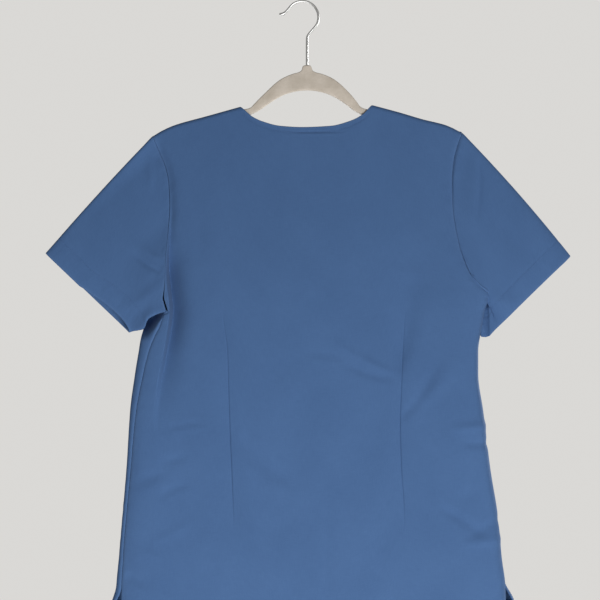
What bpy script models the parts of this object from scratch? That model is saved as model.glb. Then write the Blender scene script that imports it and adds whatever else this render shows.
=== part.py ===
"""Short-sleeved medical scrub top hanging on a flocked hanger with a wire hook.

Metres, +Z up. The origin is the point under the hook's bend where a rail or
peg bears. The garment's back faces -Y and its front faces +Y, so the wearer's
left is at -X. Sizes in the tables are millimetres and are scaled by MM.

The cloth is laid out as a maker would sew it: a back, a front and two sleeves.
Back and front lie on one form, a flattened tube whose level sections are read
from SECTIONS. A place on the form is given by its girth, the distance along
the cloth from the centre line, and by its height.
"""

import math
from collections import namedtuple

import bmesh
import bpy
from mathutils import Vector

MM = 0.001

# ---- driving sizes, millimetres ------------------------------------------
CLOTH_WALL = 1.2
SEAM_GAP = 0.6  # clear space between two sewn pieces at the side seams
SHOULDER_GAP = 1.1  # between the middles of the cloth, where it turns over the fold
ARMHOLE_INSET = 0.3  # each piece stops this far short of the armhole line
CENTRE_X = 10.0  # the body hangs a little to the right of the hook
HEM_Z = -806.0
VENT_TOP_Z = -752.0
NECK_LEFT_X, NECK_RIGHT_X = -80.0, 91.0
NECK_RIDGE_Z = -134.0
VEE_X, VEE_Z = 5.0, -287.0
LEFT_UNDERARM_Z, RIGHT_UNDERARM_Z = -401.0, -386.0

RIDGE_HALF = 5.0  # half depth of the cloth where it folds over the hanger
RIDGE_DROP = 5.5  # height of that fold
FULL_DEPTH_DROP = 260.0  # the body reaches its full depth this far down
ROUND_LEFT, ROUND_RIGHT = 46.0, 58.0  # reach of the rounded sides, across

# The flattened tube, level by level: outline left and right, half depths.
Section = namedtuple("Section", "z left right back front")
SECTIONS = (
    Section(-130, -240, 262, 10, 10),
    Section(-240, -233, 254, 16, 15),
    Section(-300, -224, 248, 19, 18),
    Section(-350, -205, 244, 22, 20),
    Section(-386, -187, 240, 23, 21),
    Section(-401, -179, 236, 24, 21),
    Section(-410, -184, 234, 24, 21),
    Section(-423, -199, 232, 24, 22),
    Section(-436, -206, 230, 25, 22),
    Section(-452, -209, 228.5, 25, 22),
    Section(-482, -215, 229, 26, 23),
    Section(-530, -221, 236, 27, 23),
    Section(-600, -225, 245, 28, 24),
    Section(-665, -231, 255, 29, 25),
    Section(-718, -236, 259, 29, 26),
    Section(-754, -239, 262, 30, 26),
    Section(-806, -240, 263, 30, 27),
)

# How far the left side seam lies inside the outline, on the back.
SeamRow = namedtuple("SeamRow", "z inset")
LEFT_SEAM = (
    SeamRow(-401, 7),
    SeamRow(-412, 14),
    SeamRow(-431, 18),
    SeamRow(-456, 13.5),
    SeamRow(-485, 11.5),
    SeamRow(-515, 9.8),
    SeamRow(-555, 8),
    SeamRow(-600, 6.8),
    SeamRow(-690, 6.2),
    SeamRow(-752, 8),
    SeamRow(-806, 8.5),
)

# The armholes, seen straight on: the back's line, and the front's in from it.
ArmRow = namedtuple("ArmRow", "z x front_in")
LEFT_ARMHOLE = (
    ArmRow(-174.5, -193.5, 0),
    ArmRow(-181, -190.8, 1),
    ArmRow(-194, -185.4, 3),
    ArmRow(-214, -177, 5),
    ArmRow(-235, -172.5, 6),
    ArmRow(-265, -171, 7),
    ArmRow(-298, -172.5, 7),
    ArmRow(-330, -174.7, 6),
    ArmRow(-362, -175.8, 3),
    ArmRow(-384, -177.1, 0),
)
RIGHT_ARMHOLE = (
    ArmRow(-170.5, 208, 0),
    ArmRow(-183, 202.8, 3),
    ArmRow(-207, 196.3, 6),
    ArmRow(-235, 193.7, 8),
    ArmRow(-265, 194.2, 9),
    ArmRow(-293, 197.5, 9),
    ArmRow(-319, 202.8, 8),
    ArmRow(-345, 211.5, 5),
    ArmRow(-360, 220.1, 2),
    ArmRow(-371, 230.9, 0),
)

# Shoulder lines and neckline of the back, and where the front's neck differs.
EdgeRow = namedtuple("EdgeRow", "x z")
LEFT_SHOULDER = (
    EdgeRow(-193.5, -174.5),
    EdgeRow(-181, -167),
    EdgeRow(-165, -160),
    EdgeRow(-124, -148),
    EdgeRow(NECK_LEFT_X, NECK_RIDGE_Z),
)
RIGHT_SHOULDER = (
    EdgeRow(NECK_RIGHT_X, NECK_RIDGE_Z),
    EdgeRow(128, -144),
    EdgeRow(156, -152.3),
    EdgeRow(188, -160.5),
    EdgeRow(208, -170.5),
)
BACK_NECK = (
    EdgeRow(NECK_LEFT_X, NECK_RIDGE_Z),
    EdgeRow(-64.5, -149),
    EdgeRow(-51, -155.5),
    EdgeRow(-28, -161.3),
    EdgeRow(0, -162.8),
    EdgeRow(37, -161),
    EdgeRow(62, -154.3),
    EdgeRow(79, -145.5),
    EdgeRow(NECK_RIGHT_X, NECK_RIDGE_Z),
)

# The fold that falls from the left armpit: a crest with a soft valley beside it.
FoldRow = namedtuple("FoldRow", "z crest_x depth width")
ARMPIT_FOLD = (
    FoldRow(-250, -166, 0, 16),
    FoldRow(-300, -168, 3, 18),
    FoldRow(-350, -169, 7, 20),
    FoldRow(-395, -168, 13, 21),
    FoldRow(-432, -168.5, 13, 19),
    FoldRow(-460, -173, 9, 18),
    FoldRow(-486, -178, 4, 17),
    FoldRow(-515, -182, 0, 16),
)
CREST_RISE = 7.0  # the crest climbs out of the valley within this distance

# The two waist darts of the back, from top to bottom.
DartRow = namedtuple("DartRow", "z left right depth")
DARTS = (
    DartRow(-134, NECK_LEFT_X, NECK_RIGHT_X, 0),
    DartRow(-300, -97, 122, 0),
    DartRow(-408, -99.5, 131.5, 0),
    DartRow(-486, -95, 126.5, 1.2),
    DartRow(-566, -91, 126, 2.0),
    DartRow(-628, -89, 129, 1.4),
    DartRow(-668, -88, 131, 0),
    DartRow(-806, -86, 134, 0),
)
DART_WIDTH = 9.0

# How far the front's vent edges swing out below the side seams.
VentRow = namedtuple("VentRow", "z left right")
FRONT_FLARE = (
    VentRow(-740, 0, 0),
    VentRow(-752, 0, 1),
    VentRow(-778, 6, 13),
    VentRow(-806, 13, 20),
)
# Girth taken off the front's left edge, which opens the vent beside the back.
FRONT_VENT_CUT = 14.0

# The sleeves: cuff corners, and the depth of the tube.
Cuff = namedtuple("Cuff", "top bottom back front back_bow")
LEFT_CUFF = Cuff((-331, -327.5), (-224, -428.5), 11, 11, 5)
RIGHT_CUFF = Cuff((347, -330), (242, -433), 12, 12, 0)
# Where round the cuff each level of the armhole leads to, 0 at its top.
LeadRow = namedtuple("LeadRow", "level left right")
CUFF_LEADS = (
    LeadRow(0, 0, 0),
    LeadRow(0.13, 0.22, 0.24),
    LeadRow(0.32, 0.42, 0.42),
    LeadRow(0.54, 0.59, 0.57),
    LeadRow(0.75, 0.76, 0.67),
    LeadRow(0.84, 0.83, 0.72),
    LeadRow(0.90, 0.88, 0.755),
    LeadRow(0.945, 0.93, 0.78),
    LeadRow(0.975, 0.965, 0.83),
    LeadRow(1, 1, 1),
)
SLEEVE_START = 0.6  # how far outside the armhole line the sleeve's cloth begins
UNDERARM_CLEAR = 2.1  # and how much farther where the cloth turns under the arm
CAP_LIFT = 2.0  # how far the sleeve head stands above a straight line
SLEEVE_SWELL = 3.5  # outward bow of the sleeve's faces half way down

# The hanger: a flat flocked moulding under the shoulders, with a wire hook.
HANGER_THICK = 6.0
HANGER_EDGE = 1.5
HANGER_CLEAR = 2.4  # below the middle of the cloth
HANGER_ARMS = (-187, -175, -160, -142, -124, -104, -88, 100, 118, 138, 156, 174, 190, 199)
HANGER_TOP = (
    (-78, -139.5), (-67, -138), (-62, -132), (-46, -116), (-30, -101), (-14, -93.5),
    (-1, -90.5), (0.5, -84.5), (2, -82), (11, -82), (12.5, -84.5), (14, -90.5),
    (28, -93.5), (44, -101), (60, -116), (71, -129), (76, -137), (87, -140),
)
HANGER_UNDER = (
    (204, -173), (205, -178), (202, -183), (195, -184), (184, -179), (150, -169),
    (115, -159), (88, -150), (70, -143), (54, -130), (38, -120.5), (22, -115.5),
    (6.5, -114), (-9, -115.5), (-25, -120.5), (-41, -130), (-57, -142),
    (-76, -150), (-104, -159), (-138, -170), (-166, -180), (-180, -187),
    (-186, -188), (-190.5, -184), (-191.5, -179), (-190, -175.5),
)
STEM_X = 6.5
STEM_TOP_Z = -48.0
NUB_TOP_Z = -82.0
WIRE_R = 1.65
HOOK_R = 21.0  # to the middle of the wire
SOCKET_DEPTH = 9.0
SOCKET_CLEAR = 0.35

# ---- mesh density ---------------------------------------------------------
UPPER_ROWS = (0, 0.006, 0.022, 0.06, 0.13, 0.22, 0.32, 0.43, 0.54, 0.65, 0.75,
              0.84, 0.90, 0.945, 0.975, 1.0)
LOWER_ROWS = (0.035, 0.08, 0.135, 0.2, 0.28, 0.37, 0.47, 0.58, 0.69, 0.8,
              0.87, 0.935, 1.0)
# Columns between guide lines, as shares of each stretch. The back's guides are
# its edge, the fold's crest, the two darts and its edge; the front's are its
# edge, the neck's corner, the centre line, the other corner and its edge.
BACK_COLUMNS = (
    (0, 0.3, 0.65),
    (0, 0.08, 0.2, 0.38, 0.62, 0.84),
    (0, 0.025, 0.08, 0.2, 0.4, 0.6, 0.8, 0.92, 0.975),
    (0, 0.12, 0.3, 0.5, 0.68, 0.82, 0.92, 0.975),
)
FRONT_COLUMNS = (
    (0, 0.02, 0.07, 0.15, 0.27, 0.42, 0.6, 0.85),
    (0, 0.05, 0.2, 0.5),
    (0, 0.5, 0.8, 0.95),
    (0, 0.15, 0.4, 0.58, 0.73, 0.85, 0.93, 0.98),
)
SLEEVE_ROWS = 7

CLOTH_BLUE = (0.075, 0.135, 0.285, 1.0)
FLOCK_BEIGE = (0.46, 0.41, 0.35, 1.0)
WIRE_CHROME = (0.78, 0.78, 0.76, 1.0)


# ---- reading the tables ---------------------------------------------------
def slope_at(xs, ys, i):
    """Slope of a smooth curve through a table at row i, with no overshoot."""
    if i == 0 or i == len(xs) - 1:
        j = min(i, len(xs) - 2)
        return (ys[j + 1] - ys[j]) / (xs[j + 1] - xs[j])
    before = (ys[i] - ys[i - 1]) / (xs[i] - xs[i - 1])
    after = (ys[i + 1] - ys[i]) / (xs[i + 1] - xs[i])
    if before * after <= 0:
        return 0.0
    return 2 * before * after / (before + after)


def read(rows, at, value, x):
    """The named value at x, smooth between the table's rows and flat beyond."""
    xs = [getattr(row, at) for row in rows]
    ys = [getattr(row, value) for row in rows]
    if xs[0] > xs[-1]:
        xs.reverse()
        ys.reverse()
    if x <= xs[0]:
        return ys[0]
    if x >= xs[-1]:
        return ys[-1]
    i = max(j for j in range(len(xs) - 1) if xs[j] <= x)
    span = xs[i + 1] - xs[i]
    t = (x - xs[i]) / span
    rise = (2 * t**3 - 3 * t**2 + 1) * ys[i] + (3 * t**2 - 2 * t**3) * ys[i + 1]
    lean = (t**3 - 2 * t**2 + t) * slope_at(xs, ys, i)
    lean += (t**3 - t**2) * slope_at(xs, ys, i + 1)
    return rise + lean * span


def ease(t):
    t = min(1.0, max(0.0, t))
    return t * t * (3 - 2 * t)


def mix(a, b, t):
    return a + (b - a) * t


# ---- the form that back and front lie on ----------------------------------
def ridge_z(x):
    """Height of the shoulder fold over the hanger, level across the neck."""
    if x < NECK_LEFT_X:
        return read(LEFT_SHOULDER, "x", "z", x)
    if x > NECK_RIGHT_X:
        return read(RIGHT_SHOULDER, "x", "z", x)
    return NECK_RIDGE_Z


def half_depth(x, z, full):
    """Distance of the cloth from the middle plane, shallow at the shoulders."""
    drop = max(0.0, ridge_z(x) - z)
    k = min(1.0, drop / RIDGE_DROP)
    start = SHOULDER_GAP / 2
    fold = start + (RIDGE_HALF - start) * math.sqrt(1 - (1 - k) ** 2)
    deepen = 1 - (1 - min(1.0, drop / FULL_DEPTH_DROP)) ** 2
    return fold + (full - RIDGE_HALF) * deepen


def quarter_length(reach, depth):
    return math.pi / 2 * math.sqrt((reach**2 + depth**2) / 2)


def side_facts(z, panel, side):
    """Half width, reach of the rounding, near and far depths on one side."""
    if side < 0:
        half, reach = CENTRE_X - read(SECTIONS, "z", "left", z), ROUND_LEFT
    else:
        half, reach = read(SECTIONS, "z", "right", z) - CENTRE_X, ROUND_RIGHT
    if panel == "front":
        half += read(FRONT_FLARE, "z", "left" if side < 0 else "right", z)
    near = read(SECTIONS, "z", panel, z)
    far = read(SECTIONS, "z", "front" if panel == "back" else "back", z)
    return half, reach, near, far


def on_form(panel, girth, z):
    """The point of the back's or front's cloth at a girth and a height."""
    side = -1 if girth < 0 else 1
    facing = -1 if panel == "back" else 1
    half, reach, near, far = side_facts(z, panel, side)
    flat = half - reach
    run = abs(girth)
    if run <= flat:
        x, share = side * run, 1.0
    else:
        first = quarter_length(reach, near)
        if run <= flat + first:
            angle = math.pi / 2 * (run - flat) / first
        else:
            angle = math.pi / 2 * (1 + (run - flat - first) / quarter_length(reach, far))
        x = side * (flat + reach * math.sin(angle))
        share = math.cos(angle)
    x += CENTRE_X
    depth = half_depth(x, z, near if share >= 0 else far) * share
    if panel == "back":
        depth -= back_folds(x, z) * max(0.0, share)
    return Vector((x, facing * depth, z))


def back_folds(x, z):
    """How far the back's cloth is pressed in by the armpit fold and the darts."""
    along = x - read(ARMPIT_FOLD, "z", "crest_x", z)
    width = read(ARMPIT_FOLD, "z", "width", z)
    valley = ease(along / CREST_RISE) * math.exp(-((max(0.0, along) / width) ** 2))
    pressed = read(ARMPIT_FOLD, "z", "depth", z) * valley
    for side in ("left", "right"):
        away = (x - read(DARTS, "z", side, z)) / DART_WIDTH
        pressed += read(DARTS, "z", "depth", z) * math.exp(-(away**2))
    return pressed


# ---- edges of the two body panels -----------------------------------------
def seam_girth(panel, side, z):
    """Girth of the side seam, or of the vent edge below it."""
    half, reach, near, far = side_facts(z, panel, side)
    first = quarter_length(reach, near)
    if side > 0:
        return half - reach + first - SEAM_GAP / 2
    turn = math.asin(1 - read(LEFT_SEAM, "z", "inset", z) / reach) / (math.pi / 2)
    if panel == "back":
        return half - reach + first * turn - SEAM_GAP / 2
    wrapped = quarter_length(reach, far) * (1 - turn) - SEAM_GAP / 2
    opened = ease((VENT_TOP_Z - z) / (VENT_TOP_Z - HEM_Z)) * FRONT_VENT_CUT
    return half - reach + first + wrapped - opened


def armhole_girth(panel, side, z):
    """Girth of the armhole's line, from where it lies seen straight on."""
    rows = LEFT_ARMHOLE if side < 0 else RIGHT_ARMHOLE
    across = side * (read(rows, "z", "x", z) - CENTRE_X)
    if panel == "front":
        across -= read(rows, "z", "front_in", z)
    half, reach, near, _ = side_facts(z, panel, side)
    beyond = across - (half - reach)
    if beyond <= 0:
        return across
    turn = math.asin(min(1, beyond / reach)) / (math.pi / 2)
    return half - reach + quarter_length(reach, near) * turn


def edge_girth(panel, side, z):
    """Signed girth of a panel's side edge: armhole, side seam, then vent."""
    foot = LEFT_UNDERARM_Z if side < 0 else RIGHT_UNDERARM_Z
    last = (LEFT_ARMHOLE if side < 0 else RIGHT_ARMHOLE)[-1].z
    if z <= foot:
        return side * seam_girth(panel, side, z)
    if z >= last:
        return side * (armhole_girth(panel, side, z) - ARMHOLE_INSET)
    t = (last - z) / (last - foot)
    start = armhole_girth(panel, side, last) - ARMHOLE_INSET
    return side * mix(start, seam_girth(panel, side, foot), t)


def shoulder_x(side):
    return LEFT_SHOULDER[0].x if side < 0 else RIGHT_SHOULDER[-1].x


def neck_z(panel, x):
    """Height of a panel's top edge at x."""
    if x <= NECK_LEFT_X or x >= NECK_RIGHT_X:
        return ridge_z(x)
    if panel == "back":
        return read(BACK_NECK, "x", "z", x)
    corner = NECK_LEFT_X if x < VEE_X else NECK_RIGHT_X
    return mix(VEE_Z, NECK_RIDGE_Z, (x - VEE_X) / (corner - VEE_X))


# ---- panels as grids of points ---------------------------------------------
def spread(columns):
    """Places across a panel: stretch number plus the share along it."""
    places = [n + share for n, shares in enumerate(columns) for share in shares]
    return [*places, len(columns)]


def along_lines(lines, place):
    """The value at a place between neighbouring guide lines."""
    stretch = min(int(place), len(lines) - 2)
    return mix(lines[stretch], lines[stretch + 1], place - stretch)


def guide_girths(panel, z_left, z_right, level):
    """Girths of a row's guide lines, between its left and right edges."""
    first, last = edge_girth(panel, -1, z_left), edge_girth(panel, 1, z_right)
    middle_z = (z_left + z_right) / 2
    if panel == "front":
        spread_out = 1 + 0.25 * level
        left = (NECK_LEFT_X - CENTRE_X) * spread_out
        right = (NECK_RIGHT_X - CENTRE_X) * spread_out
        return [first, left, mix(VEE_X - CENTRE_X, 0, level), right, last]
    darts = [read(DARTS, "z", side, middle_z) - CENTRE_X for side in ("left", "right")]
    crest_z = min(-250.0, middle_z)
    crest = read(ARMPIT_FOLD, "z", "crest_x", crest_z) - CENTRE_X
    crest = max(crest, first + 4) if level > 0.45 else mix(first, darts[0], 0.12)
    return [first, crest, *darts, last]


def panel_grid(panel, columns):
    """Rows of points from the top edge to the hem, each from left to right."""
    places = spread(columns)
    rows = []
    tops = guide_girths(panel, ridge_z(shoulder_x(-1)), ridge_z(shoulder_x(1)), 0)
    for level in UPPER_ROWS:
        z_left = mix(ridge_z(shoulder_x(-1)), LEFT_UNDERARM_Z, level)
        z_right = mix(ridge_z(shoulder_x(1)), RIGHT_UNDERARM_Z, level)
        lines = guide_girths(panel, z_left, z_right, level)
        row = []
        for place in places:
            share = place / len(columns)
            top_z = neck_z(panel, along_lines(tops, place) + CENTRE_X)
            foot_z = mix(LEFT_UNDERARM_Z, RIGHT_UNDERARM_Z, share)
            row.append(on_form(panel, along_lines(lines, place), mix(top_z, foot_z, level)))
        rows.append(row)
    for level in LOWER_ROWS:
        z_left = mix(LEFT_UNDERARM_Z, HEM_Z, level)
        z_right = mix(RIGHT_UNDERARM_Z, HEM_Z, level)
        lines = guide_girths(panel, z_left, z_right, 1)
        row = []
        for place in places:
            z = mix(z_left, z_right, place / len(columns))
            row.append(on_form(panel, along_lines(lines, place), z))
        rows.append(row)
    return rows


# ---- sleeves ----------------------------------------------------------------
def cuff_point(cuff, half, share):
    """A point of the cuff; share runs 0 to 1 from its top to its bottom."""
    top = Vector((cuff.top[0], 0, cuff.top[1]))
    bottom = Vector((cuff.bottom[0], 0, cuff.bottom[1]))
    middle, reach = (top + bottom) / 2, (bottom - top) / 2
    angle = math.pi * share
    point = middle - reach * math.copysign(abs(math.cos(angle)) ** 0.9, math.cos(angle))
    if half == "front":
        return point + Vector((0, cuff.front * math.sin(angle) ** 0.75, 0))
    point.y = -cuff.back * math.sin(angle) ** 0.75
    inward = Vector((reach.z, 0, -reach.x)).normalized()
    inward *= -1 if inward.z < 0 else 1
    return point + inward * cuff.back_bow * math.sin(math.pi * max(0, share - 0.3) / 0.7)


def sleeve_grid(side, cuff):
    """Rings of points from the armhole to the cuff."""
    levels = [*UPPER_ROWS, *UPPER_ROWS[-2:0:-1]]
    halves = ["back"] * len(UPPER_ROWS) + ["front"] * (len(UPPER_ROWS) - 2)
    which = "left" if side < 0 else "right"
    foot = LEFT_UNDERARM_Z if side < 0 else RIGHT_UNDERARM_Z
    rings = [[] for _ in range(SLEEVE_ROWS + 1)]
    for level, half in zip(levels, halves):
        z = mix(ridge_z(shoulder_x(side)), foot, level)
        start = on_form(half, edge_girth(half, side, z), z)
        if level in (0, 1):
            start.y = 0 if level == 0 else start.y
        end = cuff_point(cuff, half, read(CUFF_LEADS, "level", which, level))
        clear = SLEEVE_START + UNDERARM_CLEAR * ease((level - 0.7) / 0.22)
        start += Vector((side, 0, 0.1 if side > 0 else -0.5 * level)) * clear
        for i, ring in enumerate(rings):
            t = i / SLEEVE_ROWS
            point = start.lerp(end, t)
            bow = 4 * t * (1 - t)
            lift = CAP_LIFT * bow * (1 - t) * 2 * ease(1 - level / 0.2)
            point += Vector((side * 0.75, 0, 0.66)) * lift
            swell = SLEEVE_SWELL * bow * math.sin(math.pi * level) ** 0.7
            point.y += swell if half == "front" else -swell
            ring.append(point)
    return rings


# ---- objects ----------------------------------------------------------------
def make_material(name, colour, roughness, metallic=0.0):
    material = bpy.data.materials.new(name)
    material.use_nodes = True
    shader = material.node_tree.nodes["Principled BSDF"]
    shader.inputs["Base Color"].default_value = colour
    shader.inputs["Roughness"].default_value = roughness
    shader.inputs["Metallic"].default_value = metallic
    return material


def cloth_piece(name, rows, closed, material, collection):
    """A sheet through rows of points, given the cloth's thickness."""
    mesh = bpy.data.meshes.new(name)
    bm = bmesh.new()
    grid = [[bm.verts.new(point * MM) for point in row] for row in rows]
    for upper, lower in zip(grid, grid[1:]):
        count = len(upper)
        for i in range(count if closed else count - 1):
            j = (i + 1) % count
            bm.faces.new((upper[i], lower[i], lower[j], upper[j]))
    bmesh.ops.recalc_face_normals(bm, faces=bm.faces)
    bm.to_mesh(mesh)
    bm.free()
    mesh.shade_smooth()
    mesh.materials.append(material)
    piece = bpy.data.objects.new(name, mesh)
    collection.objects.link(piece)
    wall = piece.modifiers.new("cloth_wall", "SOLIDIFY")
    wall.thickness = CLOTH_WALL * MM
    wall.offset = 0.0
    wall.use_even_offset = True
    return piece


def hanger_outline():
    """The moulding's outline: over the top from left to right, back below."""
    arms = [(x, ridge_z(x) - HANGER_CLEAR) for x in HANGER_ARMS]
    left = [place for place in arms if place[0] < 0]
    right = [place for place in arms if place[0] > 0]
    return [*left, *HANGER_TOP, *right, *HANGER_UNDER]


def filled_outline(name, points, thick, edge):
    """A flat outline extruded to a thickness, with rounded edges."""
    curve = bpy.data.curves.new(name, "CURVE")
    curve.dimensions = "2D"
    curve.fill_mode = "BOTH"
    curve.extrude = (thick / 2 - edge) * MM
    curve.bevel_depth = edge * MM
    curve.bevel_resolution = 1
    curve.offset = -edge * MM
    spline = curve.splines.new("POLY")
    spline.points.add(len(points) - 1)
    for place, (x, z) in zip(spline.points, points):
        place.co = (x * MM, z * MM, 0, 1)
    spline.use_cyclic_u = True
    flat = bpy.data.objects.new(name, curve)
    flat.rotation_euler = (math.pi / 2, 0, 0)
    return flat


def as_mesh(flat, collection):
    """A curve object's evaluated surface as a closed mesh object."""
    collection.objects.link(flat)
    bpy.context.view_layer.update()
    graph = bpy.context.evaluated_depsgraph_get()
    mesh = bpy.data.meshes.new_from_object(flat.evaluated_get(graph))
    bm = bmesh.new()
    bm.from_mesh(mesh)
    bmesh.ops.remove_doubles(bm, verts=bm.verts, dist=0.00001)
    bm.to_mesh(mesh)
    bm.free()
    name, place = flat.name, flat.matrix_world.copy()
    bpy.data.objects.remove(flat)
    solid = bpy.data.objects.new(name, mesh)
    solid.matrix_world = place
    collection.objects.link(solid)
    return solid


def build_hanger(collection, cutters, material):
    flat = filled_outline("hanger_body", hanger_outline(), HANGER_THICK, HANGER_EDGE)
    body = as_mesh(flat, collection)
    body.data.materials.clear()
    body.data.materials.append(material)
    bpy.ops.mesh.primitive_cylinder_add(
        vertices=20,
        radius=(WIRE_R + SOCKET_CLEAR) * MM,
        depth=2 * SOCKET_DEPTH * MM,
        location=(STEM_X * MM, 0, NUB_TOP_Z * MM),
    )
    socket = bpy.context.object
    socket.name = "socket_cutter"
    for holder in list(socket.users_collection):
        holder.objects.unlink(socket)
    cutters.objects.link(socket)
    socket.hide_render = True
    socket.display_type = "WIRE"
    cut = body.modifiers.new("hook_socket", "BOOLEAN")
    cut.operation = "DIFFERENCE"
    cut.object = socket
    return body


def hook_line():
    """The wire's middle line, from the socket up and over to its tip."""
    centre_x, centre_z = 0.5, WIRE_R - HOOK_R
    line = [(STEM_X, NUB_TOP_Z - SOCKET_DEPTH + 0.6), (STEM_X, -66), (STEM_X, STEM_TOP_Z)]
    line += [(STEM_X + 0.6, -44), (STEM_X + 3.2, -40), (STEM_X + 7.4, -35.5)]
    for degrees in range(-28, 151, 14):
        angle = math.radians(degrees)
        line.append((centre_x + HOOK_R * math.cos(angle), centre_z + HOOK_R * math.sin(angle)))
    line += [(-21.3, -12.8), (-24.4, -15.2), (-27.2, -15.6), (-29.4, -15.2)]
    return [Vector((x, 0, z)) for x, z in line]


def build_hook(collection, material):
    """The wire hook, a tube along its line with a small bulb at the tip."""
    curve = bpy.data.curves.new("hanger_hook", "CURVE")
    curve.dimensions = "3D"
    curve.bevel_depth = WIRE_R * MM
    curve.bevel_resolution = 3
    curve.use_fill_caps = True
    points = hook_line()
    spline = curve.splines.new("POLY")
    spline.points.add(len(points) - 1)
    for place, point in zip(spline.points, points):
        place.co = (*(point * MM), 1)
    for place, swell in zip(reversed(spline.points), (0.8, 1.35, 1.35, 1.0)):
        place.radius = swell
    curve.materials.append(material)
    hook = bpy.data.objects.new("hanger_hook", curve)
    collection.objects.link(hook)
    return hook


def main():
    for leftover in list(bpy.data.objects):
        bpy.data.objects.remove(leftover)
    garment = bpy.data.collections.new("scrub_top_on_hanger")
    cutters = bpy.data.collections.new("cutters")
    for collection in (garment, cutters):
        bpy.context.scene.collection.children.link(collection)
    cloth = make_material("scrub_cloth", CLOTH_BLUE, 0.85)
    flock = make_material("flocking", FLOCK_BEIGE, 0.95)
    chrome = make_material("hook_wire", WIRE_CHROME, 0.15, metallic=1.0)
    cloth_piece("back_panel", panel_grid("back", BACK_COLUMNS), False, cloth, garment)
    cloth_piece("front_panel", panel_grid("front", FRONT_COLUMNS), False, cloth, garment)
    cloth_piece("sleeve_left", sleeve_grid(-1, LEFT_CUFF), True, cloth, garment)
    cloth_piece("sleeve_right", sleeve_grid(1, RIGHT_CUFF), True, cloth, garment)
    build_hanger(garment, cutters, flock)
    build_hook(garment, chrome)


main()
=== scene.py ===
import math

import bmesh
import bpy
import numpy as np
from mathutils import Euler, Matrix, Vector


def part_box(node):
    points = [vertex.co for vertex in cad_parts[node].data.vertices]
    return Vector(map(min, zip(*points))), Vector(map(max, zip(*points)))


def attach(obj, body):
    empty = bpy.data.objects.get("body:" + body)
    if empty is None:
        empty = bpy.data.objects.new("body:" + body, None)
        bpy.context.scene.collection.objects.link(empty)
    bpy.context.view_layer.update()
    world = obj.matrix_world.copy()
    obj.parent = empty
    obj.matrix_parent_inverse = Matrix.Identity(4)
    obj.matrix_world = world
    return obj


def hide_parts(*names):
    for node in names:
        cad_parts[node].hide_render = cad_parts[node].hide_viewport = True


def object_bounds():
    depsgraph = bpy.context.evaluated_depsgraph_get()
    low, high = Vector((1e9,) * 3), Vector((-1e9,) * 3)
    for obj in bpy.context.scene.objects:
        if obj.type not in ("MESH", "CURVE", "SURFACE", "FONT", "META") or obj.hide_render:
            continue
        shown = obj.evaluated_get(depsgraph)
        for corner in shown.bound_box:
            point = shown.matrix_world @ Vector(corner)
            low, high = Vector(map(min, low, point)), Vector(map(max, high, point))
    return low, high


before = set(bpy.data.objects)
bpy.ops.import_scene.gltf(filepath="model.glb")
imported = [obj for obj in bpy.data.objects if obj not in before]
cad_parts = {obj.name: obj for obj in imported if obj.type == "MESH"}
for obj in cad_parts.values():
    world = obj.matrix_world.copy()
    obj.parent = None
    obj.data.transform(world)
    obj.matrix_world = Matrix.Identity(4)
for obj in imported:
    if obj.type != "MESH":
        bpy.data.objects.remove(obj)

# The garment's back faces -Y and its front +Y, so the wearer's left is at -X.
# Tables and sizes are in millimetres, and mm turns them into the frame's metres.
mm = 0.001
frameLow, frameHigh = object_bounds()
backLow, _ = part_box("back_panel")
scene = bpy.context.scene


def table(columns, *rows):
    names = columns.split()
    return {name: np.array([row[i] for row in rows], float) for i, name in enumerate(names)}


def follow(rows, column, place):
    # a smooth curve of one column against the first, with no overshoot, flat past its ends
    xs, ys = next(iter(rows.values())), rows[column]
    if xs[0] > xs[-1]:
        xs, ys = xs[::-1], ys[::-1]
    steps = np.diff(ys) / np.diff(xs)
    slopes = np.concatenate([steps[:1], steps[1:], steps[-1:]])
    before, after = steps[:-1], steps[1:]
    meets = before * after > 0
    slopes[1:-1] = np.where(meets, 2 * before * after / np.where(meets, before + after, 1), 0)
    place = np.clip(place, xs[0], xs[-1])
    i = np.clip(np.searchsorted(xs, place, side="right") - 1, 0, len(xs) - 2)
    span = xs[i + 1] - xs[i]
    t = (place - xs[i]) / span
    level = (2 * t**3 - 3 * t**2 + 1) * ys[i] + (3 * t**2 - 2 * t**3) * ys[i + 1]
    return level + ((t**3 - 2 * t**2 + t) * slopes[i] + (t**3 - t**2) * slopes[i + 1]) * span


def ease(t):
    t = np.clip(t, 0, 1)
    return t * t * (3 - 2 * t)


def mix(a, b, t):
    return a + (b - a) * t


def bell(away):
    return np.exp(-(away**2))


def unit(way):
    return way / np.maximum(1e-9, np.linalg.norm(way, axis=-1, keepdims=True))


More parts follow.
